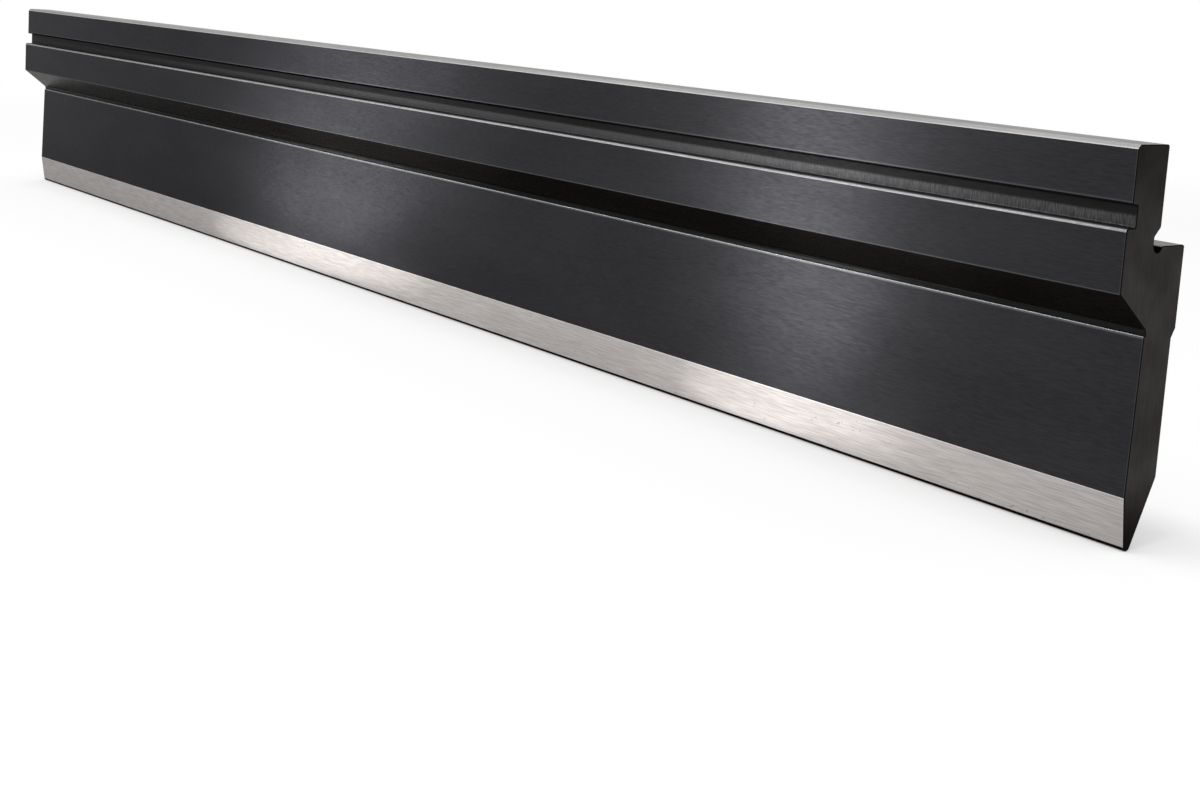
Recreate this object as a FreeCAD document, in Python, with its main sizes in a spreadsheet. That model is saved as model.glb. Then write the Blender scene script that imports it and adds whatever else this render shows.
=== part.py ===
"""Press brake punch: one ground steel bar with a clamping tang, a shoulder and a narrow bending blade.

X runs along the bar, -Y is the front, +Y is the back and Z is up. The blade points down. The origin is at the
middle of the length, where the plane of the tang's back face crosses the plane of the shoulder seat. The
working tip lies under the tang's back face. All sizes are in millimetres.
"""

import FreeCAD, Part
import math
import os

import Sketcher

NODE = "punch"
NEAR = 1e-4  # two points closer than this are the same

# Every driving size: the word that names its cell, its value and what it measures.
SIZES = [
    ("bar_length", 835.0, "length of the bar"),
    ("working_height", 85.0, "shoulder seat down to the working tip"),
    ("tang_height", 27.5, "shoulder seat up to the top of the tang"),
    ("tang_thickness", 14.0, "front face to back face of the tang"),
    ("tang_chamfer", 1.2, "chamfer on the tang's top front edge"),
    ("tang_edge_radius", 0.6, "round on the tang's top back edge"),
    ("hook_floor_height", 5.3, "seat plane up to the floor of the safety groove"),
    ("hook_groove_height", 6.2, "opening of the safety groove"),
    ("hook_groove_depth", 2.4, "tang's front face in to the groove's wall"),
    ("hook_corner_radius", 0.5, "rounds in the corners of the safety groove"),
    ("hook_lip_radius", 0.6, "round on the lower front edge of the tang"),
    ("front_step", 1.5, "body's front face proud of the tang's front face"),
    ("front_top_radius", 1.0, "round on the body's top front edge"),
    ("front_height", 17.6, "groove floor down to the foot of the body's front face"),
    ("front_foot_radius", 0.5, "round where the front face meets the slope"),
    ("shoulder_depth", 12.0, "tang's back face out to the body's back face"),
    ("shoulder_edge_radius", 0.6, "round on the shoulder's outer edge"),
    ("body_back_height", 23.2, "seat down to the top of the back chamfer"),
    ("back_chamfer_width", 1.6, "body's back face in to the blade's back face"),
    ("back_chamfer_height", 2.7, "fall of the back chamfer"),
    ("relief_rise", 2.65, "seat plane up to the top of the relief's wall"),
    ("relief_reach", 2.55, "rise of the slope from the relief's wall to the tang's back face"),
    ("relief_corner_radius", 1.0, "rounds at both ends of that slope"),
    ("root_radius", 2.0, "round groove at the tang's root"),
    ("root_setback", 0.55, "tang's back face in to the centre of the round groove"),
    ("root_centre_rise", 0.35, "seat plane up to the centre of the round groove"),
    ("root_edge_radius", 0.5, "round where the groove meets the seat"),
    ("neck_setback", 1.95, "tip line out to the wall under the slope"),
    ("slope_drop", 10.7, "foot of the front face down to the neck"),
    ("slope_radius", 2.0, "hollow round between the slope and the neck"),
    ("neck_drop", 1.4, "end of the slope down to the blade's ledge"),
    ("ledge_depth", 0.55, "neck out to the blade's front face"),
    ("ledge_radius", 0.4, "round on the ledge's edge"),
    ("blade_flare", 1.1, "forward lean of the blade's front face over its height"),
    ("front_bevel_height", 15.5, "tip up to the top of the front bevel"),
    ("back_bevel_height", 19.8, "tip up to the top of the back bevel"),
    ("tip_radius", 1.5, "radius of the working tip"),
    ("edge_break", 0.25, "broken edge round both end faces"),
]


def fill_sheet(document):
    """Writes every driving size into the spreadsheet and gives its cell the size's name."""
    sheet = document.addObject("Spreadsheet::Sheet", "Sizes")
    for row, (alias, value, meaning) in enumerate(SIZES, start=1):
        sheet.set(f"A{row}", meaning)
        sheet.set(f"B{row}", str(value))
        sheet.setAlias(f"B{row}", alias)
    document.recompute()
    return sheet


class Section:
    """The bar's cross-section: one closed outline on the body's YZ plane, each side named after its first corner."""

    START, END, CENTRE = range(1, 4)
    ACROSS_AXIS, UP_AXIS = range(-1, -3, -1)
    ORIGIN = (ACROSS_AXIS, START)
    UPRIGHT_SIDES = [
        "tang_top_front", "groove_ceiling", "front_top", "neck_top",
        "back_bevel_top", "body_back_foot", "root_top", "tang_back_foot",
    ]
    LEVEL_SIDES = ["tang_lip", "groove_floor", "neck_foot", "shoulder_edge", "tang_top_back"]
    TIP = "front_tip"
    ROOT = "root_edge"

    def __init__(self, body, sheet):
        self.sheet = sheet
        self.side = {}
        self.sketch = body.newObject("Sketcher::SketchObject", "PunchSection")
        plane = next(o for o in body.Origin.OriginFeatures if o.Role == "YZ_Plane")
        self.sketch.AttachmentSupport = [(plane, "")]
        self.sketch.MapMode = "FlatFace"

    def corners(self):
        """Returns the outline's corners, before any rounding, in order round it, as (across, up) pairs."""
        s = self.sheet
        lip_height = s.hook_floor_height + s.hook_groove_height
        groove_wall = s.hook_groove_depth - s.tang_thickness
        front = -s.tang_thickness - s.front_step
        foot = s.hook_floor_height - s.front_height
        neck = foot - s.slope_drop
        ledge = neck - s.neck_drop
        blade_front = -s.neck_setback - s.ledge_depth
        blade_back = s.shoulder_depth - s.back_chamfer_width
        front_bevel_top = (blade_front - s.blade_flare, s.front_bevel_height - s.working_height)
        back_bevel_top = (blade_back, s.back_bevel_height - s.working_height)
        relief_wall = -s.root_setback - s.root_radius
        half_chord = math.sqrt(s.root_radius**2 - s.root_centre_rise**2)
        return {
            "tang_top_front": (-s.tang_thickness, s.tang_height),
            "tang_lip": (-s.tang_thickness, lip_height),
            "groove_ceiling": (groove_wall, lip_height),
            "groove_floor": (groove_wall, s.hook_floor_height),
            "front_top": (front, s.hook_floor_height),
            "front_foot": (front, foot),
            "neck_top": (-s.neck_setback, neck),
            "neck_foot": (-s.neck_setback, ledge),
            "blade_top": (blade_front, ledge),
            "front_bevel_top": front_bevel_top,
            "front_tip": self.point_on_tip(self.tip_angle(front_bevel_top, 1)),
            "back_tip": self.point_on_tip(self.tip_angle(back_bevel_top, -1)),
            "back_bevel_top": back_bevel_top,
            "blade_back_top": (blade_back, -s.body_back_height - s.back_chamfer_height),
            "body_back_foot": (s.shoulder_depth, -s.body_back_height),
            "shoulder_edge": (s.shoulder_depth, 0.0),
            "root_edge": (half_chord - s.root_setback, 0.0),
            "root_top": (relief_wall, s.root_centre_rise),
            "relief_wall_top": (relief_wall, s.relief_rise),
            "tang_back_foot": (0.0, s.relief_rise + s.relief_reach),
            "tang_top_back": (0.0, s.tang_height),
        }

    def tip_centre(self):
        """Returns the centre of the round working tip."""
        return 0.0, self.sheet.tip_radius - self.sheet.working_height

    def tip_angle(self, bevel_top, turn):
        """Returns the angle round the tip where the bevel that comes down from bevel_top touches it."""
        across, up = (a - b for a, b in zip(bevel_top, self.tip_centre()))
        reach = math.hypot(across, up)
        return math.atan2(up, across) + turn * math.acos(self.sheet.tip_radius / reach)

    def point_on_tip(self, angle):
        """Returns the point of the working tip at an angle."""
        across, up = self.tip_centre()
        radius = self.sheet.tip_radius
        return across + radius * math.cos(angle), up + radius * math.sin(angle)

    def draw(self):
        """Draws the outline, joins its sides, squares them up and binds its sizes to the sheet."""
        at = self.corners()
        names = list(at)
        for name, following in zip(names, names[1:] + names[:1]):
            if name == self.TIP:
                self.add_arc(name, self.tip_centre(), at[name], at[following])
            elif name == self.ROOT:
                centre = (-self.sheet.root_setback, self.sheet.root_centre_rise)
                self.add_arc(name, centre, at[following], at[name])
            else:
                self.add_line(name, at[name], at[following])
        for name, following in zip(names, names[1:] + names[:1]):
            touching = following in ("front_tip", "back_tip", "root_top")
            self.constrain("Tangent" if touching else "Coincident", *self.last(name), *self.first(following))
        for name in self.UPRIGHT_SIDES:
            self.constrain("Vertical", self.side[name])
        for name in self.LEVEL_SIDES:
            self.constrain("Horizontal", self.side[name])
        self.constrain("PointOnObject", *self.first("shoulder_edge"), self.ACROSS_AXIS)
        self.constrain("PointOnObject", *self.first("tang_back_foot"), self.UP_AXIS)
        self.constrain("PointOnObject", self.side[self.TIP], self.CENTRE, self.UP_AXIS)
        self.dimension()

    def add_line(self, name, start, end):
        """Adds a straight side between two corners."""
        ends = [FreeCAD.Vector(*corner, 0) for corner in (start, end)]
        self.side[name] = self.sketch.addGeometry(Part.LineSegment(*ends), False)

    def add_arc(self, name, centre, start, end):
        """Adds a round side, counter-clockwise from start to end about its centre."""
        first, last = (math.atan2(p[1] - centre[1], p[0] - centre[0]) for p in (start, end))
        axis = FreeCAD.Vector(0, 0, 1)
        circle = Part.Circle(FreeCAD.Vector(*centre, 0), axis, math.dist(start, centre))
        self.side[name] = self.sketch.addGeometry(Part.ArcOfCircle(circle, first, last), False)

    def first(self, name):
        """Returns the point where a side starts, going round the outline."""
        return self.side[name], self.END if name == self.ROOT else self.START

    def last(self, name):
        """Returns the point where a side ends, going round the outline."""
        return self.side[name], self.START if name == self.ROOT else self.END

    def constrain(self, *rule):
        """Adds one constraint and returns its number."""
        return self.sketch.addConstraint(Sketcher.Constraint(*rule))

    def drive(self, kind, start, end, expression):
        """Adds one dimension between two points, or on one arc, and binds it to the sheet."""
        words = expression.split(" - ")
        value = getattr(self.sheet, words[0]) - sum(getattr(self.sheet, word) for word in words[1:])
        number = self.constrain(kind, *start, *end, value)
        bound = " - ".join(f"Sizes.{word}" for word in words)
        self.sketch.setExpression(f"Constraints[{number}]", bound)

    def dimension(self):
        """Gives the outline its sizes: first across the bar, then up it, then on its two arcs."""
        at = {name: self.first(name) for name in self.side}
        origin = self.ORIGIN
        tip = self.side[self.TIP]
        root = self.side[self.ROOT]
        across = [
            (at["tang_top_front"], origin, "tang_thickness"),
            (at["tang_top_front"], at["groove_ceiling"], "hook_groove_depth"),
            (at["front_top"], at["tang_top_front"], "front_step"),
            (at["neck_top"], origin, "neck_setback"),
            (at["blade_top"], at["neck_top"], "ledge_depth"),
            (at["front_bevel_top"], at["blade_top"], "blade_flare"),
            (at["back_bevel_top"], at["body_back_foot"], "back_chamfer_width"),
            (origin, at["shoulder_edge"], "shoulder_depth"),
            ((root, self.CENTRE), origin, "root_setback"),
        ]
        up = [
            (origin, at["tang_top_back"], "tang_height"),
            (origin, at["groove_floor"], "hook_floor_height"),
            (at["groove_floor"], at["tang_lip"], "hook_groove_height"),
            (at["front_foot"], at["groove_floor"], "front_height"),
            (at["neck_top"], at["front_foot"], "slope_drop"),
            (at["neck_foot"], at["neck_top"], "neck_drop"),
            (at["front_bevel_top"], origin, "working_height - front_bevel_height"),
            (at["back_bevel_top"], origin, "working_height - back_bevel_height"),
            (at["body_back_foot"], origin, "body_back_height"),
            (at["blade_back_top"], at["body_back_foot"], "back_chamfer_height"),
            (origin, at["relief_wall_top"], "relief_rise"),
            (at["relief_wall_top"], at["tang_back_foot"], "relief_reach"),
            ((tip, self.CENTRE), origin, "working_height - tip_radius"),
            (origin, (root, self.CENTRE), "root_centre_rise"),
        ]
        for start, end, expression in across:
            self.drive("DistanceX", start, end, expression)
        for start, end, expression in up:
            self.drive("DistanceY", start, end, expression)
        self.drive("Radius", (tip,), (), "tip_radius")
        self.drive("Radius", (root,), (), "root_radius")


def long_edge(shape, point):
    """Returns the name of the edge that runs along the bar through an (across, up) point."""
    for number, edge in enumerate(shape.Edges, start=1):
        ends = [v.Point for v in edge.Vertexes]
        if len(ends) == 2 and all(math.hypot(p.y - point[0], p.z - point[1]) < NEAR for p in ends):
            return f"Edge{number}"
    raise ValueError(f"no edge along the bar at {point}")


def dress(document, body, base, kind, name, points, size, expression):
    """Rounds or chamfers the edges that run along the bar through the given points."""
    feature = body.newObject(f"PartDesign::{kind}", name)
    feature.Base = (base, [long_edge(base.Shape, point) for point in points])
    setattr(feature, size, 0.1)
    feature.setExpression(size, expression)
    document.recompute()
    return feature


def end_faces(shape):
    """Returns the names of the two flat end faces of the bar."""
    names = []
    for number, face in enumerate(shape.Faces, start=1):
        if face.BoundBox.XLength < NEAR:
            names.append(f"Face{number}")
    return names


def build_punch(document, sheet):
    """Builds the punch as one body: the padded section, its rounds, its chamfer and its broken ends."""
    body = document.addObject("PartDesign::Body", "PunchBody")
    body.Label = NODE
    section = Section(body, sheet)
    section.draw()
    document.recompute()

    pad = body.newObject("PartDesign::Pad", "BarLength")
    pad.Profile = section.sketch
    pad.SideType = "Symmetric"
    pad.Length = sheet.bar_length
    pad.setExpression("Length", "Sizes.bar_length")
    document.recompute()

    at = section.corners()
    rounds = [
        ("HookLipRound", ["tang_lip"], "hook_lip_radius"),
        ("HookCornerRounds", ["groove_ceiling", "groove_floor"], "hook_corner_radius"),
        ("FrontTopRound", ["front_top"], "front_top_radius"),
        ("FrontFootRound", ["front_foot"], "front_foot_radius"),
        ("SlopeRound", ["neck_top"], "slope_radius"),
        ("LedgeRound", ["blade_top"], "ledge_radius"),
        ("ShoulderEdgeRound", ["shoulder_edge"], "shoulder_edge_radius"),
        ("RootEdgeRound", ["root_edge"], "root_edge_radius"),
        ("ReliefRounds", ["relief_wall_top", "tang_back_foot"], "relief_corner_radius"),
        ("TangTopRound", ["tang_top_back"], "tang_edge_radius"),
    ]
    feature = pad
    for name, corners, alias in rounds:
        points = [at[corner] for corner in corners]
        feature = dress(document, body, feature, "Fillet", name, points, "Radius", f"Sizes.{alias}")
    feature = dress(document, body, feature, "Chamfer", "TangChamfer", [at["tang_top_front"]], "Size",
                    "Sizes.tang_chamfer")

    ends = body.newObject("PartDesign::Chamfer", "EndEdgeBreak")
    ends.Base = (feature, end_faces(feature.Shape))
    ends.setExpression("Size", "Sizes.edge_break")
    body.Tip = ends
    body.Placement = FreeCAD.Placement()
    document.recompute()
    return body


def check(document, body):
    """Stops the build if any feature has failed or the body isn't one valid solid."""
    for item in document.Objects:
        faults = {"Invalid", "Error"} & set(item.State)
        if faults:
            raise RuntimeError(f"{item.Name} has failed: {item.State}")
    shape = body.Shape
    if shape.isNull() or not shape.isValid() or len(shape.Solids) != 1:
        raise RuntimeError(f"{body.Label} isn't one valid solid")
    box = shape.BoundBox
    print(f"{body.Label}: {box.XLength:.2f} x {box.YLength:.2f} x {box.ZLength:.2f} mm")
    print(f"{body.Label}: volume {shape.Volume / 1000:.1f} cm3, {len(shape.Faces)} faces")


def main():
    """Makes the document, builds the punch, checks it and writes it out."""
    os.makedirs("parts", exist_ok=True)
    document = FreeCAD.newDocument("PressBrakePunch")
    sheet = fill_sheet(document)
    body = build_punch(document, sheet)
    check(document, body)
    body.Shape.exportStep(os.path.join("parts", f"{NODE}.step"))


main()
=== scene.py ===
"""A press brake punch: one long steel bar with its finishes, on a plain pale floor in soft light."""

import logging
import math
from dataclasses import dataclass, field
from enum import Enum, unique

import bmesh
import bpy
from mathutils import Euler, Matrix, Vector, geometry


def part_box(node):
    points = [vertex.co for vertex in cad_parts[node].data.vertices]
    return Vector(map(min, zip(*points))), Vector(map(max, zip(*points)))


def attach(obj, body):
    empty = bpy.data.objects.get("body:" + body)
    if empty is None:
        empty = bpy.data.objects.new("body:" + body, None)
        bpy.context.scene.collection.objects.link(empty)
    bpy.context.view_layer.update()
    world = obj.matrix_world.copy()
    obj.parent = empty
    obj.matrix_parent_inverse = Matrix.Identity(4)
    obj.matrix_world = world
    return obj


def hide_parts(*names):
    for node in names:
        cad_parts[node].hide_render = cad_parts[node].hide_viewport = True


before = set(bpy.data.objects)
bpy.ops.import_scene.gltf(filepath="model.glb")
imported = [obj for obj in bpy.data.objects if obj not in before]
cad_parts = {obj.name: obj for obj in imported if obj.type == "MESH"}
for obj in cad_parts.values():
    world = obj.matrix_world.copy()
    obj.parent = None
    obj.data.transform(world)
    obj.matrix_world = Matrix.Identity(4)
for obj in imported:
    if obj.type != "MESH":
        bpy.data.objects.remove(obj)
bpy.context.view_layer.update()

LOG = logging.getLogger("punch")
MM = 0.001
GRAIN_MAP = "grain"

Colour = tuple[float, float, float]
Triple = tuple[float, float, float]
Range = tuple[float, float]
Value = float | bpy.types.NodeSocket


# ---------- Finishes ----------


class Grain(Enum):
    """The way in which a face was brushed or cut, as lines per metre along X, Y and Z."""

    ALONG = (260.0, 3800.0, 3800.0)
    UPRIGHT = (1300.0, 1300.0, 120.0)
    COARSE = (110.0, 4300.0, 4300.0)


@dataclass(frozen=True)
class Steel:
    """One finish of the steel.

    Attributes:
        dark: base colour in the valleys of the grain.
        light: base colour on the crests of the grain.
        grain: the way the face was brushed.
        lines: share of the colour's play that comes from the grain's lines; patches give the rest.
        roughness: lowest and highest roughness.
        anisotropy: how far the grain stretches a highlight across itself.
        edge_tint: grey that tames the reflection at a grazing look.
        depth: height of the grain's lines in millimetres.
        pits: how thickly the face is pitted or stained, from 0 to 1.
        rim: how much of the light line beside each end of the bar shows.
    """

    dark: Colour
    light: Colour
    grain: Grain = Grain.ALONG
    lines: float = 0.6
    roughness: Range = (0.26, 0.34)
    anisotropy: float = 0.7
    edge_tint: float = 0.5
    depth: float = 0.004
    pits: float = 0.0
    rim: float = 0.0


@unique
class Finish(Enum):
    """Every finish on the bar. The order is that of the material slots."""

    BLACKENED = Steel((0.0195, 0.0196, 0.0216), (0.0305, 0.0306, 0.0337), lines=0.75,
                      roughness=(0.28, 0.32), anisotropy=0.82, depth=0.0015, rim=0.06)
    TANG_TOP = Steel((0.34, 0.327, 0.324), (0.47, 0.452, 0.448), roughness=(0.28, 0.38), edge_tint=0.4,
                     depth=0.002, pits=0.15)
    SEAT = Steel((0.36, 0.352, 0.345), (0.48, 0.47, 0.463), roughness=(0.3, 0.4), edge_tint=0.4,
                 depth=0.002, pits=0.15)
    BEVEL = Steel((0.320, 0.299, 0.288), (0.438, 0.412, 0.398), grain=Grain.COARSE, lines=0.85,
                  roughness=(0.42, 0.48), anisotropy=0.95, edge_tint=0.6, depth=0.002, pits=0.6, rim=0.25)
    GROOVE = Steel((0.009, 0.009, 0.009), (0.0145, 0.0145, 0.0145), roughness=(0.34, 0.42), depth=0.001)
    NECK = Steel((0.009, 0.009, 0.009), (0.014, 0.014, 0.014), roughness=(0.22, 0.28), depth=0.001)
    SLOPE = Steel((0.0215, 0.0195, 0.0178), (0.0325, 0.0295, 0.0268), roughness=(0.26, 0.32),
                  anisotropy=0.6, edge_tint=0.42, depth=0.001)
    END = Steel((0.031, 0.0288, 0.0276), (0.048, 0.0455, 0.0433), grain=Grain.UPRIGHT, lines=0.2,
                roughness=(0.36, 0.46), anisotropy=0.4, depth=0.002, pits=0.5)
    SHADOW_LINE = Steel((0.006, 0.006, 0.006), (0.010, 0.010, 0.010), roughness=(0.4, 0.5), edge_tint=0.3)
    WORN_EDGE = Steel((0.20, 0.20, 0.204), (0.25, 0.25, 0.255), lines=0.3, roughness=(0.34, 0.36),
                      anisotropy=0.0, depth=0.0)
    LEDGE_EDGE = Steel((0.25, 0.25, 0.255), (0.31, 0.31, 0.316), lines=0.3, roughness=(0.32, 0.34),
                       anisotropy=0.0, depth=0.0)
    SOFT_EDGE = Steel((0.05, 0.05, 0.052), (0.07, 0.07, 0.072), lines=0.3, roughness=(0.32, 0.34),
                      anisotropy=0.0, depth=0.0)
    CHAMFER = Steel((0.36, 0.353, 0.348), (0.44, 0.432, 0.426), lines=0.4, roughness=(0.28, 0.34),
                    depth=0.001)
    TIP = Steel((0.006, 0.0045, 0.0038), (0.013, 0.0095, 0.008), roughness=(0.4, 0.5), edge_tint=0.25)

    @property
    def slot(self) -> int:
        """The place of this finish among the bar's material slots."""
        return list(Finish).index(self)


@dataclass(frozen=True)
class EdgeLine:
    """A light line along a level edge of the front; the one at the ledge is a painted highlight.

    Attributes:
        height: height of the edge in millimetres.
        width: how far the line reaches from the edge, in millimetres.
        strength: how much of its colour shows.
        colour: its colour.
    """

    height: float
    width: float
    strength: float
    colour: Colour


@dataclass(frozen=True)
class CutterMarksAndPaintedLight:
    """The cutter's upright marks on the safety groove's wall, and a band of painted light on the wall's lower
    half, below the shadow of the tang's lip.

    Attributes:
        cells: marks per metre along X, Y and Z.
        spread: part of the marks' noise that is stretched to 0 to 1.
        dark: colour between the marks.
        light: colour on the marks.
        contrast: how clearly they show on the left of the bar and at its right end.
        clear_from: where they start to show clearly, as a share of the bar's half length.
        fade: how much of the band shows towards the left and towards the right.
        fade_reach: where the fade begins and ends, as a share of the bar's half length.
        rise: upper edge of the band, as a share of the groove's height.
        blur: how far that edge fades above and below, in millimetres.
        waver: how far that edge wanders, in millimetres.
        waver_cells: how often it wanders, per metre.
        depth: depth of the marks, where that of the grain's lines is 1.
    """

    cells: Triple = (4200.0, 60.0, 420.0)
    spread: Range = (0.32, 0.68)
    dark: Colour = (0.031, 0.031, 0.032)
    light: Colour = (0.068, 0.068, 0.07)
    contrast: Range = (0.2, 1.0)
    clear_from: float = 0.3
    fade: Range = (0.15, 0.95)
    fade_reach: float = 0.9
    rise: float = 0.56
    blur: Range = (0.6, 0.4)
    waver: float = 0.7
    waver_cells: Triple = (40.0, 1.0, 1.0)
    depth: float = 2.0


@dataclass(frozen=True)
class PaintedEndShade:
    """Painted shade on an end face: darker towards the tip, where the real end face mirrors the dark contact
    shadow, and darker towards the top of the tang.

    Attributes:
        colour: colour of the painted shade.
        foot: how much of its colour shows at the tip.
        foot_reach: how far it reaches up from the tip, in millimetres.
        head: how much of its colour shows at the top of the tang.
    """

    colour: Colour = (0.002, 0.0018, 0.0016)
    foot: float = 0.85
    foot_reach: float = 22.0
    head: float = 0.5


# ---------- Nodes ----------


class Nodes:
    """Adds nodes to one tree and joins them."""

    def __init__(self, tree: bpy.types.NodeTree) -> None:
        """Takes the tree of a material, a world or a node group."""
        self.tree = tree

    def add(self, kind: str, **settings: object) -> bpy.types.Node:
        """Adds one node.

        Args:
            kind: the node's type, such as ShaderNodeMath.
            settings: the node's own properties, by name.

        Returns:
            The new node.
        """
        node = self.tree.nodes.new(kind)
        for name, value in settings.items():
            setattr(node, name, value)
        return node

    def feed(self, socket: bpy.types.NodeSocket, value: object) -> None:
        """Links a socket to another one, or sets it to a plain value.

        Args:
            socket: the input.
            value: an output, or a plain value.
        """
        if isinstance(value, bpy.types.NodeSocket):
            self.tree.links.new(value, socket)
        else:
            socket.default_value = value

    def math(self, operation: str, first: Value, second: Value = 0.0) -> bpy.types.NodeSocket:
        """Adds a Math node.

        Args:
            operation: the node's operation.
            first: its first input.
            second: its second input.

        Returns:
            The node's output.
        """
        node = self.add("ShaderNodeMath", operation=operation)
        self.feed(node.inputs[0], first)
        self.feed(node.inputs[1], second)
        return node.outputs[0]

    def ramp(self, value: Value, low: Value, high: Value, start: Value = 0.0,
             end: Value = 1.0) -> bpy.types.NodeSocket:
        """Maps a value smoothly from one range to another.

        Args:
            value: what is mapped.
            low: where the first range begins.
            high: where the first range ends.
            start: the result at or below low.
            end: the result at or above high.

        Returns:
            The mapped value.
        """
        node = self.add("ShaderNodeMapRange", interpolation_type="SMOOTHSTEP")
        for socket, given in zip(node.inputs, (value, low, high, start, end)):
            self.feed(socket, given)
        return node.outputs[0]

    def blend(self, share: Value, first: object, second: object) -> bpy.types.NodeSocket:
        """Mixes two colours.

        Args:
            share: how much of the second colour shows.
            first: a colour or a colour socket.
            second: a colour or a colour socket.

        Returns:
            The mixed colour.
        """
        node = self.add("ShaderNodeMix", data_type="RGBA")
        self.feed(node.inputs[0], share)
        for socket, given in zip(node.inputs[6:8], (first, second)):
            self.feed(socket, given if isinstance(given, bpy.types.NodeSocket) else (*given, 1.0))
        return node.outputs[2]

    def axes(self, place: Value) -> bpy.types.NodeOutputs:
        """Splits coordinates.

        Args:
            place: the coordinates.

        Returns:
            The outputs X, Y and Z.
        """
        node = self.add("ShaderNodeSeparateXYZ")
        self.feed(node.inputs[0], place)
        return node.outputs

    def stretched(self, vector: object, factors: object) -> bpy.types.NodeSocket:
        """Multiplies a vector, part by part.

        Args:
            vector: the vector.
            factors: one factor for each axis.

        Returns:
            The product.
        """
        node = self.add("ShaderNodeVectorMath", operation="MULTIPLY")
        self.feed(node.inputs[0], vector)
        self.feed(node.inputs[1], factors)
        return node.outputs[0]

    def noise(self, place: Value, cells: object, detail: float) -> bpy.types.NodeSocket:
        """Adds a noise whose size differs from axis to axis.

        Args:
            place: the coordinates.
            cells: cells per metre along each axis, as a vector or a socket.
            detail: how many finer octaves are added.

        Returns:
            The noise, from 0 to 1 with most of it near 0.5.
        """
        noise = self.add("ShaderNodeTexNoise", noise_dimensions="3D")
        self.feed(noise.inputs["Vector"], self.stretched(place, cells))
        self.feed(noise.inputs["Scale"], 1.0)
        self.feed(noise.inputs["Detail"], detail)
        return noise.outputs["Fac"]

    def group(self, tree: bpy.types.NodeTree, **values: object) -> bpy.types.NodeSocket:
        """Places a node group.

        Args:
            tree: the group.
            values: its inputs by name.

        Returns:
            The group's one output.
        """
        node = self.add("ShaderNodeGroup", node_tree=tree)
        for name, value in values.items():
            self.feed(node.inputs[name], value)
        return node.outputs[0]


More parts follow.
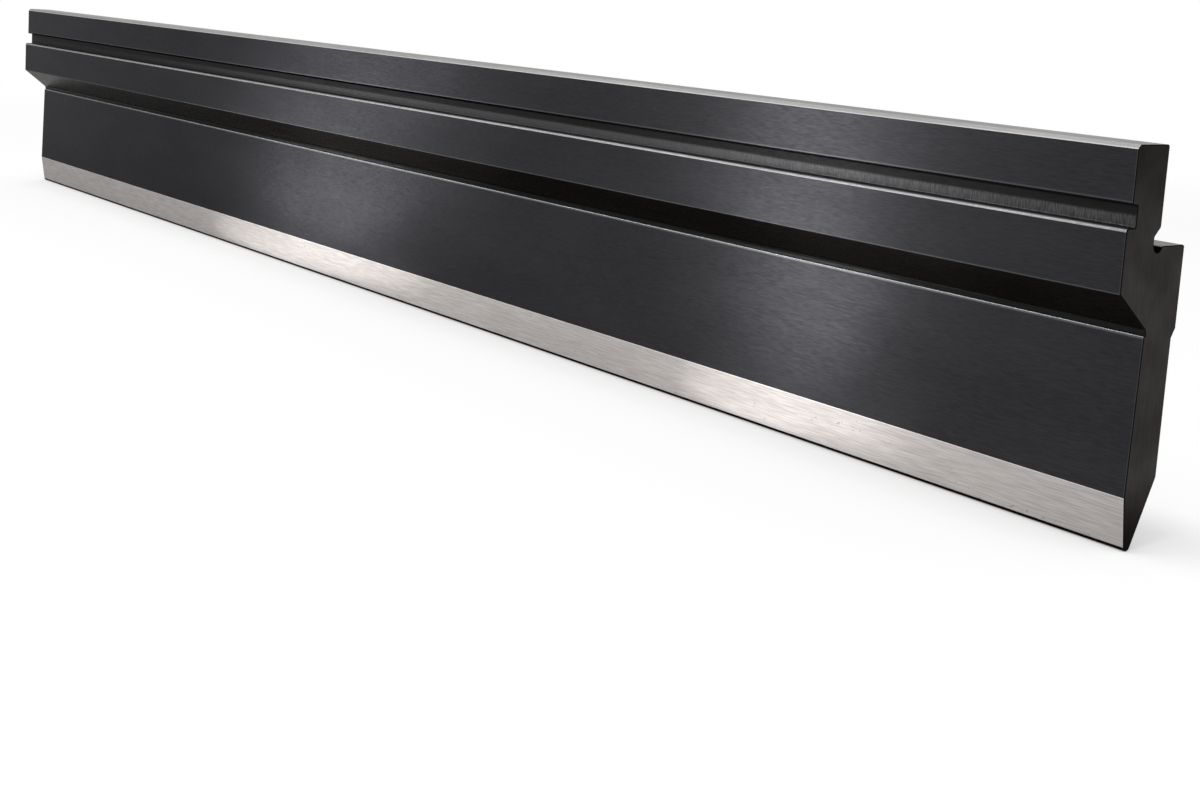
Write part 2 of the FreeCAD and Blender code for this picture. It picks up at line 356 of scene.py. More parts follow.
class Effects:
    """The surface effects that several finishes share, each one a node group that is built once.

    Cells are counted per metre along X, Y and Z. A spread is the part of a noise that is stretched to 0 to 1.
    """

    FINE_SHARE = 0.75
    WIDER = (0.4, 0.4, 0.4)
    LINE_SPREAD = (0.34, 0.66)
    PATCH_CELLS = (22.0, 70.0, 70.0)
    PATCH_SPREAD = (0.3, 0.7)
    PIT_CELLS = (520.0, 900.0, 900.0)
    PIT_LEVEL = 0.76
    PIT_EDGE = 0.05
    CLUSTER_CELLS = (26.0, 90.0, 90.0)
    CLUSTER_SPREAD = (0.42, 0.7)
    CLUSTER_PULL = 0.14
    LINE_CORE = 0.25

    def __init__(self) -> None:
        """Builds all the groups."""
        self.brushing = self.make_brushing()
        self.mottling = self.make_mottling()
        self.pitting = self.make_pitting()
        self.rim = self.make_rim()
        self.edge_line = self.make_edge_line()

    @staticmethod
    def start(name: str, output: str, vectors: tuple[str, ...],
              numbers: tuple[str, ...] = ()) -> tuple[Nodes, bpy.types.NodeOutputs, bpy.types.NodeSocket]:
        """Begins a node group.

        Args:
            name: the group's name.
            output: the name of its one output, a value.
            vectors: the names of its vector inputs.
            numbers: the names of its number inputs.

        Returns:
            The group's nodes, what it is given, and the socket that takes its result.
        """
        tree = bpy.data.node_groups.new(name, "ShaderNodeTree")
        for kind, labels in (("NodeSocketVector", vectors), ("NodeSocketFloat", numbers)):
            for label in labels:
                tree.interface.new_socket(label, in_out="INPUT", socket_type=kind)
        tree.interface.new_socket(output, in_out="OUTPUT", socket_type="NodeSocketFloat")
        nodes = Nodes(tree)
        return nodes, nodes.add("NodeGroupInput").outputs, nodes.add("NodeGroupOutput").inputs[0]

    def make_brushing(self) -> bpy.types.NodeTree:
        """Makes the fine lines that brushing or grinding leaves.

        Returns:
            The group, with the lines from 0 to 1.
        """
        nodes, given, result = self.start("brushing", "Lines", ("Place", "Grain"))
        fine = nodes.noise(given["Place"], given["Grain"], 2.0)
        wide = nodes.noise(given["Place"], nodes.stretched(given["Grain"], self.WIDER), 2.0)
        both = nodes.math("ADD", nodes.math("MULTIPLY", fine, self.FINE_SHARE),
                          nodes.math("MULTIPLY", wide, 1.0 - self.FINE_SHARE))
        nodes.feed(result, nodes.ramp(both, *self.LINE_SPREAD))
        return nodes.tree

    def make_mottling(self) -> bpy.types.NodeTree:
        """Makes soft patches, a few centimetres across, where the finish took unevenly, and adds the lines.

        Returns:
            The group, with the play of lines and patches from 0 to 1.
        """
        nodes, given, result = self.start("mottling", "Play", ("Place",), ("Lines", "Share"))
        patches = nodes.ramp(nodes.noise(given["Place"], self.PATCH_CELLS, 5.0), *self.PATCH_SPREAD)
        rest = nodes.math("SUBTRACT", 1.0, given["Share"])
        nodes.feed(result, nodes.math("ADD", nodes.math("MULTIPLY", given["Lines"], given["Share"]),
                                      nodes.math("MULTIPLY", patches, rest)))
        return nodes.tree

    def make_pitting(self) -> bpy.types.NodeTree:
        """Makes small pits and specks that lie in loose clusters.

        Returns:
            The group, with a mask that is 1 in a pit.
        """
        nodes, given, result = self.start("pitting", "Pits", ("Place",), ("Amount",))
        pits = nodes.noise(given["Place"], self.PIT_CELLS, 1.0)
        clusters = nodes.ramp(nodes.noise(given["Place"], self.CLUSTER_CELLS, 1.0), *self.CLUSTER_SPREAD)
        pull = nodes.math("MULTIPLY", nodes.math("MULTIPLY", clusters, given["Amount"]), self.CLUSTER_PULL)
        above = nodes.math("SUBTRACT", pits, nodes.math("SUBTRACT", self.PIT_LEVEL, pull))
        nodes.feed(result, nodes.ramp(above, 0.0, self.PIT_EDGE))
        return nodes.tree

    def make_rim(self) -> bpy.types.NodeTree:
        """Makes the thin light line beside each end of the bar.

        Returns:
            The group, with a mask that is 1 on the line.
        """
        nodes, given, result = self.start("rim", "Rim", ("Place",), ("Reach", "Width"))
        off_middle = nodes.math("ABSOLUTE", nodes.axes(given["Place"])["X"])
        inset = nodes.math("SUBTRACT", given["Reach"], off_middle)
        nodes.feed(result, nodes.ramp(inset, given["Width"], 0.0))
        return nodes.tree

    def make_edge_line(self) -> bpy.types.NodeTree:
        """Makes the light line along a level edge of the front, a painted highlight at the ledge.

        Returns:
            The group, with a mask that is 1 at the edge.
        """
        nodes, given, result = self.start("edge_line", "Line", ("Place",), ("Height", "Width"))
        axes = nodes.axes(given["Place"])
        off = nodes.math("ABSOLUTE", nodes.math("SUBTRACT", axes["Z"], given["Height"]))
        core = nodes.math("MULTIPLY", given["Width"], self.LINE_CORE)
        near_edge = nodes.ramp(off, given["Width"], core)
        in_front = nodes.math("LESS_THAN", axes["Y"], 0.0)
        nodes.feed(result, nodes.math("MULTIPLY", near_edge, in_front))
        return nodes.tree


# ---------- Materials ----------


@dataclass
class Coat:
    """A material in the making.

    Attributes:
        nodes: its nodes.
        place: the coordinates on the bar.
        lines: the lines of its grain.
        colour: its colour so far.
        height: the height of its surface so far.
    """

    nodes: Nodes
    place: bpy.types.NodeSocket
    lines: bpy.types.NodeSocket
    colour: bpy.types.NodeSocket
    height: bpy.types.NodeSocket


class Paintshop:
    """Makes one material for each finish."""

    PIT_SHADE = 0.32
    PIT_STRENGTH = 0.4
    PIT_DEPTH = 2.0
    RIM_WIDTH = 0.6
    RIM_COLOUR = (0.9, 0.93, 1.0)
    ACROSS_THE_GRAIN = 0.25

    def __init__(self, bar: "PunchBar") -> None:
        """Keeps the bar whose sizes some finishes follow."""
        self.bar = bar
        self.effects = Effects()

    def material(self, finish: Finish) -> bpy.types.Material:
        """Makes the material of one finish.

        Args:
            finish: the finish.

        Returns:
            The new material.
        """
        steel = finish.value
        material = bpy.data.materials.new(finish.name.lower())
        material.use_nodes = True
        coat = self.ground_coat(Nodes(material.node_tree), steel)
        if finish is Finish.GROOVE:
            self.add_cutter_marks_and_painted_light(coat, CutterMarksAndPaintedLight())
        if finish is Finish.END:
            self.add_painted_end_shade(coat, PaintedEndShade())
        for line in self.edge_lines(finish):
            self.add_edge_line(coat, line)
        if steel.pits:
            self.add_pits(coat, steel)
        if steel.rim:
            self.add_rim(coat, steel)
        self.finish_shader(material.node_tree.nodes["Principled BSDF"], coat, steel)
        return material

    def ground_coat(self, nodes: Nodes, steel: Steel) -> Coat:
        """Lays the finish's two colours along its grain and in patches.

        Args:
            nodes: the material's nodes.
            steel: the finish.

        Returns:
            The material in the making.
        """
        place = nodes.add("ShaderNodeTexCoord").outputs["Object"]
        lines = nodes.group(self.effects.brushing, Place=place, Grain=steel.grain.value)
        play = nodes.group(self.effects.mottling, Place=place, Lines=lines, Share=steel.lines)
        return Coat(nodes, place, lines, nodes.blend(play, steel.dark, steel.light), lines)

    def edge_lines(self, finish: Finish) -> list[EdgeLine]:
        """Lists the light lines that run along the bar in one finish; the ledge's line is a painted
        highlight.

        Args:
            finish: the finish.

        Returns:
            The lines, if it has any.
        """
        section = self.bar.section
        lines = {
            Finish.CHAMFER: [EdgeLine(section.chamfer_foot, 0.4, 0.9, (0.66, 0.66, 0.66))],
            Finish.BLACKENED: [EdgeLine(section.hook_top + 0.8, 0.35, 0.5, (0.08, 0.08, 0.083)),
                               # Painted highlight: widens and softens the highlight on the ledge's round.
                               EdgeLine(section.ledge_height - 0.5, 0.6, 0.7, (0.11, 0.11, 0.113))],
            Finish.BEVEL: [EdgeLine(section.bevel_top_front, 0.35, 0.6, (0.75, 0.71, 0.69))],
        }
        return lines.get(finish, [])

    def add_edge_line(self, coat: Coat, line: EdgeLine) -> None:
        """Adds a light line along a level edge of the front.

        Args:
            coat: the material in the making.
            line: the line.
        """
        mask = coat.nodes.group(self.effects.edge_line, Place=coat.place, Height=line.height * MM,
                                Width=line.width * MM)
        share = coat.nodes.math("MULTIPLY", mask, line.strength)
        coat.colour = coat.nodes.blend(share, coat.colour, line.colour)

    def add_pits(self, coat: Coat, steel: Steel) -> None:
        """Adds small dark pits.

        Args:
            coat: the material in the making.
            steel: its finish.
        """
        nodes = coat.nodes
        pits = nodes.group(self.effects.pitting, Place=coat.place, Amount=steel.pits)
        shade = tuple(self.PIT_SHADE * part for part in steel.dark)
        coat.colour = nodes.blend(nodes.math("MULTIPLY", pits, self.PIT_STRENGTH), coat.colour, shade)
        coat.height = nodes.math("SUBTRACT", coat.height, nodes.math("MULTIPLY", pits, self.PIT_DEPTH))

    def add_rim(self, coat: Coat, steel: Steel) -> None:
        """Adds the light line beside both ends of the bar.

        Args:
            coat: the material in the making.
            steel: its finish.
        """
        rim = coat.nodes.group(self.effects.rim, Place=coat.place, Reach=self.bar.length / 2,
                               Width=self.RIM_WIDTH * MM)
        share = coat.nodes.math("MULTIPLY", rim, steel.rim)
        coat.colour = coat.nodes.blend(share, coat.colour, self.RIM_COLOUR)

    def add_cutter_marks_and_painted_light(self, coat: Coat, cut: CutterMarksAndPaintedLight) -> None:
        """Adds the cutter's marks and painted light on the lower half of the groove's wall, below the shadow
        of the tang's lip; the marks show only in that light.

        Args:
            coat: the material in the making.
            cut: the marks and the painted light.
        """
        nodes, section = coat.nodes, self.bar.section
        axes = nodes.axes(coat.place)
        end = self.bar.length / 2
        marks = nodes.ramp(nodes.noise(coat.place, cut.cells, 2.0), *cut.spread)
        contrast = nodes.ramp(axes["X"], cut.clear_from * end, end, *cut.contrast)
        swing = nodes.math("MULTIPLY", nodes.math("SUBTRACT", marks, 0.5), contrast)
        shade = nodes.math("ADD", 0.5, swing)
        waver = nodes.math("MULTIPLY", nodes.noise(coat.place, cut.waver_cells, 3.0), cut.waver * MM)
        height = nodes.math("ADD", axes["Z"], waver)
        # Painted light: the wall below this edge is made lighter, as if lit below the shadow of the tang's
        # lip, and more so towards the right end.
        edge = section.hook_floor_height + cut.rise * section.hook_groove_height
        below = nodes.ramp(height, (edge + cut.blur[0]) * MM, (edge - cut.blur[1]) * MM)
        fade = nodes.ramp(axes["X"], -cut.fade_reach * end, cut.fade_reach * end, *cut.fade)
        painted_light = nodes.math("MULTIPLY", below, fade)
        carved = nodes.math("MULTIPLY", nodes.math("MULTIPLY", shade, painted_light), cut.depth)
        coat.colour = nodes.blend(painted_light, coat.colour, nodes.blend(shade, cut.dark, cut.light))
        coat.height = nodes.math("ADD", coat.lines, carved)

    def add_painted_end_shade(self, coat: Coat, end_shade: PaintedEndShade) -> None:
        """Paints shade onto an end face, darker towards the tip and towards the top of the tang.

        Args:
            coat: the material in the making.
            end_shade: the painted shade.
        """
        nodes, section = coat.nodes, self.bar.section
        height = nodes.axes(coat.place)["Z"]
        foot = nodes.ramp(height, (end_shade.foot_reach - section.bottom) * MM, -section.bottom * MM, 0.0, end_shade.foot)
        head = nodes.ramp(height, 0.0, section.top * MM, 0.0, end_shade.head)
        # Painted shade: darker towards the tip, where the real end face mirrors the dark contact shadow, and
        # towards the top of the tang.
        coat.colour = nodes.blend(nodes.math("ADD", foot, head), coat.colour, end_shade.colour)

    def finish_shader(self, shader: bpy.types.Node, coat: Coat, steel: Steel) -> None:
        """Joins the coat to the shader, and sets the shader's plain numbers and the grain's direction.

        Args:
            shader: the material's Principled BSDF.
            coat: the material in the making.
            steel: its finish.
        """
        nodes = coat.nodes
        smoothest, roughest = steel.roughness
        nodes.feed(shader.inputs["Base Color"], coat.colour)
        nodes.feed(shader.inputs["Roughness"], nodes.ramp(coat.lines, 0.0, 1.0, roughest, smoothest))
        bump = nodes.add("ShaderNodeBump")
        bump.inputs["Strength"].default_value = 1.0
        bump.inputs["Distance"].default_value = steel.depth * MM
        nodes.feed(bump.inputs["Height"], coat.height)
        nodes.feed(shader.inputs["Normal"], bump.outputs[0])
        tangent = nodes.add("ShaderNodeTangent", direction_type="UV_MAP", uv_map=GRAIN_MAP)
        nodes.feed(shader.inputs["Tangent"], tangent.outputs[0])
        shader.inputs["Metallic"].default_value = 1.0
        shader.inputs["Anisotropic"].default_value = steel.anisotropy
        shader.inputs["Anisotropic Rotation"].default_value = self.ACROSS_THE_GRAIN
        shader.inputs["Specular Tint"].default_value = (steel.edge_tint,) * 3 + (1.0,)


# ---------- The bar ----------


@dataclass(frozen=True)
class Bend:
    """A turn of the outline: an arc if it has a centre, otherwise a flat or a plain corner."""

    start: Vector
    end: Vector
    centre: Vector | None = None
    turn: float = 0.0


@dataclass(frozen=True)
class Corner:
    """A corner of the section.

    Attributes:
        place: where its two sides would meet, as a distance to the back and a height in millimetres.
        side: finish of the side from here to the next corner.
        radius: radius of its round.
        chamfer: length of its chamfer along each side.
        edge: finish of its round or chamfer.
        bend: the arc itself, where its sides don't fix it.
    """

    place: Vector
    side: Finish
    radius: float = 0.0
    chamfer: float = 0.0
    edge: Finish = Finish.SOFT_EDGE
    bend: Bend | None = None

    def trimmed(self, before: "Corner", after: "Corner") -> Bend:
        """Works out the corner's bend from its neighbours.

        Args:
            before: the corner that the outline comes from.
            after: the corner that it goes to.

        Returns:
            The bend.
        """
        if self.bend:
            return self.bend
        came_from = before.bend.end if before.bend else before.place
        towards = (self.place - came_from).normalized()
        away = (after.place - self.place).normalized()
        turn = math.atan2(towards.cross(away), towards.dot(away))
        cut = self.chamfer or self.radius * math.tan(abs(turn) / 2)
        start, end = self.place - towards * cut, self.place + away * cut
        if not self.radius:
            return Bend(start, end)
        inwards = Vector((-towards.y, towards.x)) * math.copysign(self.radius, turn)
        return Bend(start, end, start + inwards, turn)


@dataclass(frozen=True)
class PunchSection:
    """The punch's section in millimetres, seen with its front on the left.

    Attributes:
        front: distance from the tang's back plane forwards to the body's front.
        back: distance from the tang's back plane to the shoulder's back.
        top: height of the tang above the shoulder's seat.
        bottom: height from the tip to the seat.
    """

    front: float
    back: float
    top: float
    bottom: float
    front_step: float = 1.5
    tang_chamfer: float = 1.2
    tang_edge_radius: float = 0.6
    hook_floor_height: float = 5.3
    hook_groove_height: float = 6.2
    hook_groove_depth: float = 2.4
    hook_lip_radius: float = 0.6
    hook_corner_radius: float = 0.5
    front_height: float = 17.6
    front_top_radius: float = 1.0
    front_foot_radius: float = 0.5
    neck_setback: float = 1.95
    slope_drop: float = 10.7
    slope_radius: float = 2.0
    neck_drop: float = 1.4
    ledge_depth: float = 0.55
    ledge_radius: float = 0.4
    blade_flare: float = 1.1
    front_bevel_height: float = 15.5
    back_bevel_height: float = 19.8
    tip_radius: float = 1.5
    body_back_height: float = 23.2
    back_chamfer_width: float = 1.6
    back_chamfer_height: float = 2.7
    shoulder_edge_radius: float = 0.6
    root_radius: float = 2.0
    root_setback: float = 0.55
    root_centre_rise: float = 0.35
    root_edge_radius: float = 0.5
    relief_reach: float = 2.55
    relief_rise: float = 2.65
    relief_corner_radius: float = 1.0

    @property
    def chamfer_foot(self) -> float:
        """Height of the lower edge of the tang's chamfer."""
        return self.top - self.tang_chamfer

    @property
    def hook_top(self) -> float:
        """Height of the safety groove's upper side."""
        return self.hook_floor_height + self.hook_groove_height

    @property
    def front_foot(self) -> float:
        """Height of the body's front where it meets the slope."""
        return self.hook_floor_height - self.front_height

    @property
    def ledge_height(self) -> float:
        """Height of the small ledge at the top of the blade."""
        return self.front_foot - self.slope_drop - self.neck_drop

    @property
    def bevel_top_front(self) -> float:
        """Height of the front bevel's upper edge."""
        return self.front_bevel_height - self.bottom

    def corners(self) -> list[Corner]:
        """Lists the corners, from the tang's top front downwards and round.

        Returns:
            The corners in their order.
        """
        return [*self.tang_front(), *self.body_front(), *self.blade(), *self.body_back(),
                *self.root_groove(), *self.tang_back()]

    def tang_front(self) -> list[Corner]:
        """Lists the corners of the tang's front and of the safety groove under it.

        Returns:
            The corners.
        """
        face = self.front_step - self.front
        wall = face + self.hook_groove_depth
        return [
            Corner(Vector((face, self.top)), Finish.BLACKENED, chamfer=self.tang_chamfer,
                   edge=Finish.CHAMFER),
            Corner(Vector((face, self.hook_top)), Finish.SHADOW_LINE, radius=self.hook_lip_radius,
                   edge=Finish.SHADOW_LINE),
            Corner(Vector((wall, self.hook_top)), Finish.GROOVE, radius=self.hook_corner_radius,
                   edge=Finish.SHADOW_LINE),
            Corner(Vector((wall, self.hook_floor_height)), Finish.GROOVE, radius=self.hook_corner_radius,
                   edge=Finish.GROOVE),
        ]

    def body_front(self) -> list[Corner]:
        """Lists the corners of the body's front, the slope and the neck.

        Returns:
            The corners.
        """
        neck = -self.neck_setback
        return [
            Corner(Vector((-self.front, self.hook_floor_height)), Finish.BLACKENED,
                   radius=self.front_top_radius, edge=Finish.WORN_EDGE),
            Corner(Vector((-self.front, self.front_foot)), Finish.SLOPE, radius=self.front_foot_radius),
            Corner(Vector((neck, self.front_foot - self.slope_drop)), Finish.NECK,
                   radius=self.slope_radius, edge=Finish.NECK),
            Corner(Vector((neck, self.ledge_height)), Finish.NECK),
            Corner(Vector((neck - self.ledge_depth, self.ledge_height)), Finish.BLACKENED,
                   radius=self.ledge_radius, edge=Finish.LEDGE_EDGE),
        ]

    def blade(self) -> list[Corner]:
        """Lists the corners of the two bevels and the rounded tip between them.

        Returns:
            The corners.
        """
        lowest = -self.neck_setback - self.ledge_depth - self.blade_flare
        behind = self.back - self.back_chamfer_width
        front = Vector((lowest, self.bevel_top_front))
        rear = Vector((behind, self.back_bevel_height - self.bottom))
        return [
            Corner(front, Finish.BEVEL),
            Corner(self.apex(front, rear), Finish.BEVEL, radius=self.tip_radius, edge=Finish.TIP),
            Corner(rear, Finish.BLACKENED),
        ]

    def apex(self, front: Vector, rear: Vector) -> Vector:
        """Finds where the two bevels would meet if the tip were not rounded.

        Args:
            front: upper end of the front bevel.
            rear: upper end of the back bevel.

        Returns:
            The point below the tip.
        """
        centre = Vector((0.0, self.tip_radius - self.bottom))
        ends = []
        for top, side in ((front, 1.0), (rear, -1.0)):
            line = centre - top
            lean = side * math.asin(self.tip_radius / line.length)
            ends.append(top + Matrix.Rotation(-lean, 2) @ line)
        meeting = geometry.intersect_line_line(front.to_3d(), ends[0].to_3d(), rear.to_3d(),
                                               ends[1].to_3d())
        return meeting[0].to_2d()

    def body_back(self) -> list[Corner]:
        """Lists the corners of the body's back.

        Returns:
            The corners.
        """
        foot = -self.body_back_height
        return [
            Corner(Vector((self.back - self.back_chamfer_width, foot - self.back_chamfer_height)),
                   Finish.BLACKENED),
            Corner(Vector((self.back, foot)), Finish.BLACKENED),
            Corner(Vector((self.back, 0.0)), Finish.SEAT, radius=self.shoulder_edge_radius),
        ]

    def root_groove(self) -> list[Corner]:
        """Lists the two arcs of the round groove between the seat and the tang.

        Returns:
            The corners, each with its arc.
        """
        centre = Vector((-self.root_setback, self.root_centre_rise))
        drop = self.root_edge_radius + self.root_centre_rise
        reach = self.root_radius + self.root_edge_radius
        edge_centre = Vector((centre.x + math.sqrt(reach ** 2 - drop ** 2), -self.root_edge_radius))
        start = edge_centre + Vector((0.0, self.root_edge_radius))
        meeting = centre + (edge_centre - centre).normalized() * self.root_radius
        wall = centre - Vector((self.root_radius, 0.0))
        slant = math.asin(drop / reach)
        rim = Bend(start, meeting, edge_centre, math.pi / 2 - slant)
        hollow = Bend(meeting, wall, centre, slant - math.pi)
        return [
            Corner(start, Finish.SHADOW_LINE, edge=Finish.WORN_EDGE, bend=rim),
            Corner(meeting, Finish.GROOVE, edge=Finish.SHADOW_LINE, bend=hollow),
        ]

    def tang_back(self) -> list[Corner]:
        """Lists the corners of the relief and of the tang's back.

        Returns:
            The corners.
        """
        slant_top = self.relief_rise + self.relief_reach
        return [
            Corner(Vector((-self.relief_reach, self.relief_rise)), Finish.GROOVE,
                   radius=self.relief_corner_radius, edge=Finish.GROOVE),
            Corner(Vector((0.0, slant_top)), Finish.BLACKENED, radius=self.relief_corner_radius),
            Corner(Vector((0.0, self.top)), Finish.TANG_TOP, radius=self.tang_edge_radius),
        ]


def into_scene(name: str, shape: bmesh.types.BMesh) -> bpy.types.Object:
    """Turns a finished shape into an object at the origin, and frees the shape.

    Args:
        name: the name of the object and of its mesh.
        shape: the shape.

    Returns:
        The object.
    """
    mesh = bpy.data.meshes.new(name)
    shape.to_mesh(mesh)
    shape.free()
    piece = bpy.data.objects.new(name, mesh)
    bpy.context.scene.collection.objects.link(piece)
    return piece


@dataclass
class PunchBar:
    """The whole bar, as one closed mesh.

    Attributes:
        low: lowest corner of the CAD model's box, in metres.
        high: highest corner of that box.
        end_break: how far the edges of the end faces are broken, in millimetres.
        end_break_steps: number of faces across such a broken edge.
        step: largest turn from one face of a round to the next.
        crisp: turn from which an edge stays crisp.
        weld: distance in millimetres below which two points are one.
        section: the bar's section.
    """

    low: Vector
    high: Vector
    end_break: float = 0.25
    end_break_steps: int = 3
    step: float = math.radians(10.0)
    crisp: float = math.radians(12.0)
    weld: float = 0.001
    section: PunchSection = field(init=False)

    def __post_init__(self) -> None:
        """Takes the section's outer sizes from the CAD model's box."""
        self.section = PunchSection(front=-self.low.y / MM, back=self.high.y / MM, top=self.high.z / MM,
                                    bottom=-self.low.z / MM)

    @property
    def length(self) -> float:
        """Length of the bar in metres."""
        return self.high.x - self.low.x

    def build(self) -> bpy.types.Object:
        """Builds the bar and dresses it.

        Returns:
            The new object, at the origin.
        """
        shape = bmesh.new()
        self.draw_outline(shape)
        self.stretch(shape)
        self.break_ends(shape)
        self.lay_grain(shape)
        for face in shape.faces:
            face.smooth = True
        for edge in shape.edges:
            edge.smooth = edge.calc_face_angle(0.0) < self.crisp
        bar = into_scene("punch_bar", shape)
        paintshop = Paintshop(self)
        for finish in Finish:
            bar.data.materials.append(paintshop.material(finish))
        shading = bar.modifiers.new("even_shading", "WEIGHTED_NORMAL")
        shading.keep_sharp = True
        return bar

    def draw_outline(self, shape: bmesh.types.BMesh) -> None:
        """Draws the section at the bar's left end, and notes the finish of each stroke on its edges.

        Args:
            shape: the empty mesh.
        """
        corners = self.section.corners()
        bends = [corner.trimmed(corners[i - 1], corners[(i + 1) % len(corners)])
                 for i, corner in enumerate(corners)]
        notes = shape.edges.layers.int.new("finish")
        pen = shape.verts.new(self.placed(bends[0].start))
        for i, (corner, bend) in enumerate(zip(corners, bends)):
            if bend.centre:
                steps = math.ceil(abs(bend.turn) / self.step)
                arc = bmesh.ops.spin(shape, geom=[pen], cent=self.placed(bend.centre), axis=(1, 0, 0),
                                     angle=bend.turn, steps=steps)
                pen = arc["geom_last"][0]
            elif bend.end != bend.start:
                pen = self.line_to(shape, pen, bend.end)
            self.note(shape, notes, corner.edge)
            pen = self.line_to(shape, pen, bends[(i + 1) % len(bends)].start)
            self.note(shape, notes, corner.side)
        bmesh.ops.remove_doubles(shape, verts=shape.verts, dist=self.weld * MM)

    def placed(self, point: Vector) -> Vector:
        """Puts a point of the section, in millimetres, at the bar's left end."""
        return Vector((self.low.x, point.x * MM, point.y * MM))

    def line_to(self, shape: bmesh.types.BMesh, pen: bmesh.types.BMVert, end: Vector) -> bmesh.types.BMVert:
        """Draws a straight stroke.

        Args:
            shape: the mesh.
            pen: the vertex where the stroke starts.
            end: where it ends, on the section.

        Returns:
            The vertex at its end, or the same one where there is no way to go.
        """
        way = self.placed(end) - pen.co
        if way.length < self.weld * MM:
            return pen
        stroke = bmesh.ops.extrude_vert_indiv(shape, verts=[pen])
        bmesh.ops.translate(shape, verts=stroke["verts"], vec=way)
        return stroke["verts"][0]

    @staticmethod
    def note(shape: bmesh.types.BMesh, notes: bmesh.types.BMLayerItem, finish: Finish) -> None:
        """Notes a finish, counted from 1, on the edges that have none yet."""
        for edge in shape.edges:
            edge[notes] = edge[notes] or finish.slot + 1

    def stretch(self, shape: bmesh.types.BMesh) -> None:
        """Pulls the outline along the bar and closes both ends.

        Args:
            shape: the mesh with the outline.
        """
        notes = shape.edges.layers.int["finish"]
        outline = list(shape.edges)
        pulled = bmesh.ops.extrude_edge_only(shape, edges=outline)["geom"]
        moved = [item for item in pulled if isinstance(item, bmesh.types.BMVert)]
        bmesh.ops.translate(shape, verts=moved, vec=(self.length, 0.0, 0.0))
        for edge in outline:
            edge.link_faces[0].material_index = edge[notes] - 1
        open_edges = [edge for edge in shape.edges if edge.is_boundary]
        for face in bmesh.ops.holes_fill(shape, edges=open_edges)["faces"]:
            face.material_index = Finish.END.slot
        bmesh.ops.recalc_face_normals(shape, faces=shape.faces)

    def break_ends(self, shape: bmesh.types.BMesh) -> None:
        """Breaks the sharp edges round both end faces, which then look as dark as a shadow line.

        Args:
            shape: the closed mesh.
        """
        ends = [face for face in shape.faces if face.material_index == Finish.END.slot]
        edges = list({edge for face in ends for edge in face.edges})
        broken = bmesh.ops.bevel(shape, geom=edges, offset=self.end_break * MM, offset_type="OFFSET",
                                 segments=self.end_break_steps, profile=0.5, affect="EDGES", material=-1)
        for face in broken["faces"]:
            face.material_index = Finish.SHADOW_LINE.slot

    @staticmethod
    def lay_grain(shape: bmesh.types.BMesh) -> None:
        """Lays a map whose first axis runs along the grain: along the bar, and upwards on its ends.

        Args:
            shape: the closed mesh.
        """
        grain = shape.loops.layers.uv.new(GRAIN_MAP)
        for face in shape.faces:
            upright = face.material_index == Finish.END.slot
            level = abs(face.normal.z) > abs(face.normal.y)
            for loop in face.loops:
                place = loop.vert.co
                if upright:
                    loop[grain].uv = (place.z, place.y)
                else:
                    loop[grain].uv = (place.x, place.y if level else place.z)


# ---------- The studio ----------


# Tilts of a lamp in degrees. A lamp that isn't tilted faces down.
UPRIGHT = 90.0
FACE_UP = 180.0


@dataclass(frozen=True)
class Softbox:
    """One lamp of the studio.

    Attributes:
        name: its name.
        place: where the middle of its face stands, in metres above the floor.
        size: its width and height in metres.
        tilt: how far it is tipped up, in degrees.
        heading: how far it is turned about the upright axis, in degrees.
        brightness: brightness of its face, where plain white is 1.
        lights_floor: whether it lights the floor.
        shows_in_steel: whether the steel mirrors it.
    """

    name: str
    place: Vector
    size: tuple[float, float]
    tilt: float
    heading: float
    brightness: float
    lights_floor: bool = False
    shows_in_steel: bool = True

    @property
    def oval(self) -> bool:
        """Whether its face is oval, as that of a lamp that lies face up."""
        return self.tilt == FACE_UP

    @property
    def area(self) -> float:
        """Area of its face in square metres."""
        return self.size[0] * self.size[1] * (math.pi / 4 if self.oval else 1.0)


@dataclass(frozen=True)
class Viewpoint:
    """Where the camera stands, in metres and degrees, with its lens in millimetres."""

    place: Vector
    azimuth: float
    elevation: float
    roll: float
    lens: float
    shift_y: float


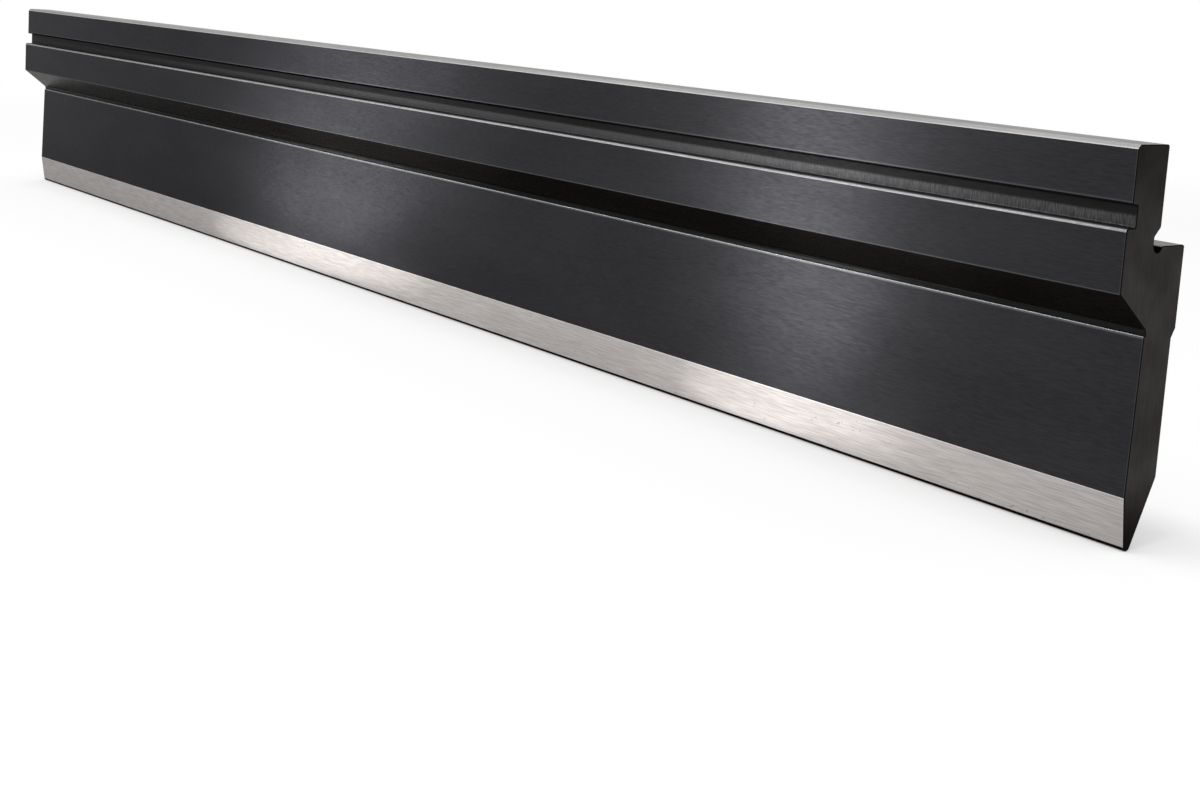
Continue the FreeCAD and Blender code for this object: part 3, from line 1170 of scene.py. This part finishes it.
@dataclass
class Studio:
    """The floor, the lamps, the surroundings and the camera.

    Attributes:
        floor_level: height of the floor in metres.
        ambient: brightness of the soft light from all round.
        floor_radius: radius of the floor in metres.
        floor_white: how white the floor's paint is, from 0 to 1.
        floor_glow: the floor's own light, right under the bar and in the open.
        shade_reach: how far the bar keeps that light away, in metres.
        even_from: how far off the floor starts to be plain white and is nothing else, in metres.
        view: the camera's viewpoint.
        lamps: the lamps.
    """

    floor_level: float
    ambient: float = 0.4
    floor_radius: float = 12.0
    floor_white: float = 0.42
    floor_glow: Range = (0.3, 0.62)
    shade_reach: float = 0.036
    even_from: Range = (0.6, 1.3)
    view: Viewpoint = Viewpoint(Vector((0.6698, -0.3926, 0.0554)), 51.51, 7.47, 3.67, 49.77, -0.15)
    lamps: tuple[Softbox, ...] = (
        Softbox("overhead", Vector((0.25, -0.6, 1.385)), (1.2, 0.8), 25.0, 22.6, 1.2, lights_floor=True),
        Softbox("shadow_caster", Vector((0.0, -0.8, 3.0)), (1.5, 0.8), 14.9, 0.0, 12.0,
                lights_floor=True, shows_in_steel=False),
        Softbox("near_upright_strip", Vector((-0.319, -0.647, 0.5)), (0.08, 1.0), UPRIGHT, -44.0, 8.8),
        Softbox("near_lying_strip", Vector((-0.039, -0.347, 0.002)), (0.08, 0.79), FACE_UP, -44.4, 5.6),
        Softbox("near_heel_strip", Vector((0.268, -0.021, 0.0005)), (0.11, 0.036), FACE_UP, 0.0, 1.8),
        Softbox("end_heel_strip", Vector((0.385, -0.021, 0.0005)), (0.13, 0.036), FACE_UP, 0.0, 0.18),
        Softbox("far_upright_strip", Vector((-0.726, -0.465, 0.5)), (0.12, 1.0), UPRIGHT, -58.9, 4.0),
        Softbox("far_lying_strip", Vector((-0.439, -0.231, 0.002)), (0.105, 0.75), FACE_UP, -62.8, 7.3),
        Softbox("end_upright_strip", Vector((-1.5, -0.44, 0.5)), (0.35, 1.0), UPRIGHT, -69.4, 0.45),
        Softbox("end_lying_strip", Vector((-0.97, -0.24, 0.002)), (0.25, 0.8), FACE_UP, -69.4, 0.38),
        Softbox("far_heel_strip", Vector((-0.08, -0.021, 0.0005)), (0.22, 0.036), FACE_UP, 0.0, 2.45),
    )

    def build(self) -> None:
        """Sets up everything round the bar."""
        self.make_surroundings()
        self.lay_floor()
        for softbox in self.lamps:
            self.put_up(softbox)
        self.stand_camera()

    def make_surroundings(self) -> None:
        """Makes the world: plain soft light, and white wherever it is seen or mirrored."""
        world = bpy.data.worlds.new("studio")
        bpy.context.scene.world = world
        world.use_nodes = True
        nodes = Nodes(world.node_tree)
        path = nodes.add("ShaderNodeLightPath").outputs
        mirrored = nodes.math("MAXIMUM", path["Is Glossy Ray"], path["Is Transmission Ray"])
        seen = nodes.math("MAXIMUM", path["Is Camera Ray"], mirrored)
        background = world.node_tree.nodes["Background"]
        background.inputs["Color"].default_value = (1.0, 1.0, 1.0, 1.0)
        nodes.feed(background.inputs["Strength"], nodes.ramp(seen, 0.0, 1.0, self.ambient, 1.0))

    def lay_floor(self) -> None:
        """Lays the white floor that the tip stands on."""
        disc = bmesh.new()
        bmesh.ops.create_circle(disc, cap_ends=True, segments=96, radius=self.floor_radius)
        bmesh.ops.translate(disc, verts=disc.verts, vec=(0.0, 0.0, self.floor_level))
        floor = into_scene("floor", disc)
        floor.data.materials.append(self.floor_paint())

    def floor_paint(self) -> bpy.types.Material:
        """Makes the floor's white, which keeps a pale shadow near the bar and is even further off.

        Returns:
            The material.
        """
        material = bpy.data.materials.new("floor_white")
        material.use_nodes = True
        nodes = Nodes(material.node_tree)
        nodes.tree.nodes.remove(nodes.tree.nodes["Principled BSDF"])
        lit = nodes.add("ShaderNodeBsdfDiffuse")
        lit.inputs["Color"].default_value = (self.floor_white,) * 3 + (1.0,)
        openness = nodes.add("ShaderNodeAmbientOcclusion", samples=8)
        openness.inputs["Distance"].default_value = self.shade_reach
        glow = nodes.add("ShaderNodeEmission")
        nodes.feed(glow.inputs["Strength"], nodes.ramp(openness.outputs["AO"], 0.0, 1.0, *self.floor_glow))
        near = nodes.add("ShaderNodeAddShader")
        nodes.feed(near.inputs[0], lit.outputs[0])
        nodes.feed(near.inputs[1], glow.outputs[0])
        far = nodes.add("ShaderNodeEmission")
        far.inputs["Strength"].default_value = 1.0
        away = nodes.add("ShaderNodeVectorMath", operation="LENGTH")
        nodes.feed(away.inputs[0], nodes.add("ShaderNodeTexCoord").outputs["Object"])
        surface = nodes.add("ShaderNodeMixShader")
        nodes.feed(surface.inputs[0], nodes.ramp(away.outputs["Value"], *self.even_from))
        nodes.feed(surface.inputs[1], near.outputs[0])
        nodes.feed(surface.inputs[2], far.outputs[0])
        nodes.feed(nodes.tree.nodes["Material Output"].inputs["Surface"], surface.outputs[0])
        return material

    def put_up(self, softbox: Softbox) -> None:
        """Puts up one lamp.

        Args:
            softbox: the lamp.
        """
        light = bpy.data.lights.new(softbox.name, "AREA")
        light.shape = "ELLIPSE" if softbox.oval else "RECTANGLE"
        light.size, light.size_y = softbox.size
        light.energy = softbox.brightness * math.pi * softbox.area
        lamp = bpy.data.objects.new(softbox.name, light)
        lamp.location = softbox.place + Vector((0.0, 0.0, self.floor_level))
        lamp.rotation_euler = (math.radians(softbox.tilt), 0.0, math.radians(softbox.heading))
        lamp.visible_camera = False
        lamp.visible_diffuse = softbox.lights_floor
        lamp.visible_glossy = softbox.shows_in_steel
        bpy.context.scene.collection.objects.link(lamp)

    def stand_camera(self) -> None:
        """Stands the camera at its viewpoint, and sets a plain rendering of the colours."""
        view = self.view
        camera = bpy.data.objects.new("camera", bpy.data.cameras.new("camera"))
        camera.data.sensor_width = 36.0
        camera.data.lens = view.lens
        camera.data.shift_y = view.shift_y
        camera.data.clip_start = 0.01
        turn = Euler((math.radians(90.0 - view.elevation), 0.0, math.radians(view.azimuth))).to_matrix()
        turn = turn @ Matrix.Rotation(math.radians(view.roll), 3, "Z")
        camera.matrix_world = Matrix.Translation(view.place) @ turn.to_4x4()
        bpy.context.scene.collection.objects.link(camera)
        bpy.context.scene.camera = camera
        bpy.context.scene.view_settings.view_transform = "Standard"


def main() -> None:
    """Builds the bar and the studio round it."""
    logging.basicConfig(level=logging.INFO, format="%(name)s: %(message)s")
    low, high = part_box("punch")
    bar = PunchBar(low, high).build()
    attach(bar, "root")
    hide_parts("punch")
    LOG.info("%s: %d faces, %d finishes", bar.name, len(bar.data.polygons), len(bar.data.materials))
    Studio(floor_level=low.z).build()


if __name__ == "__main__":
    main()
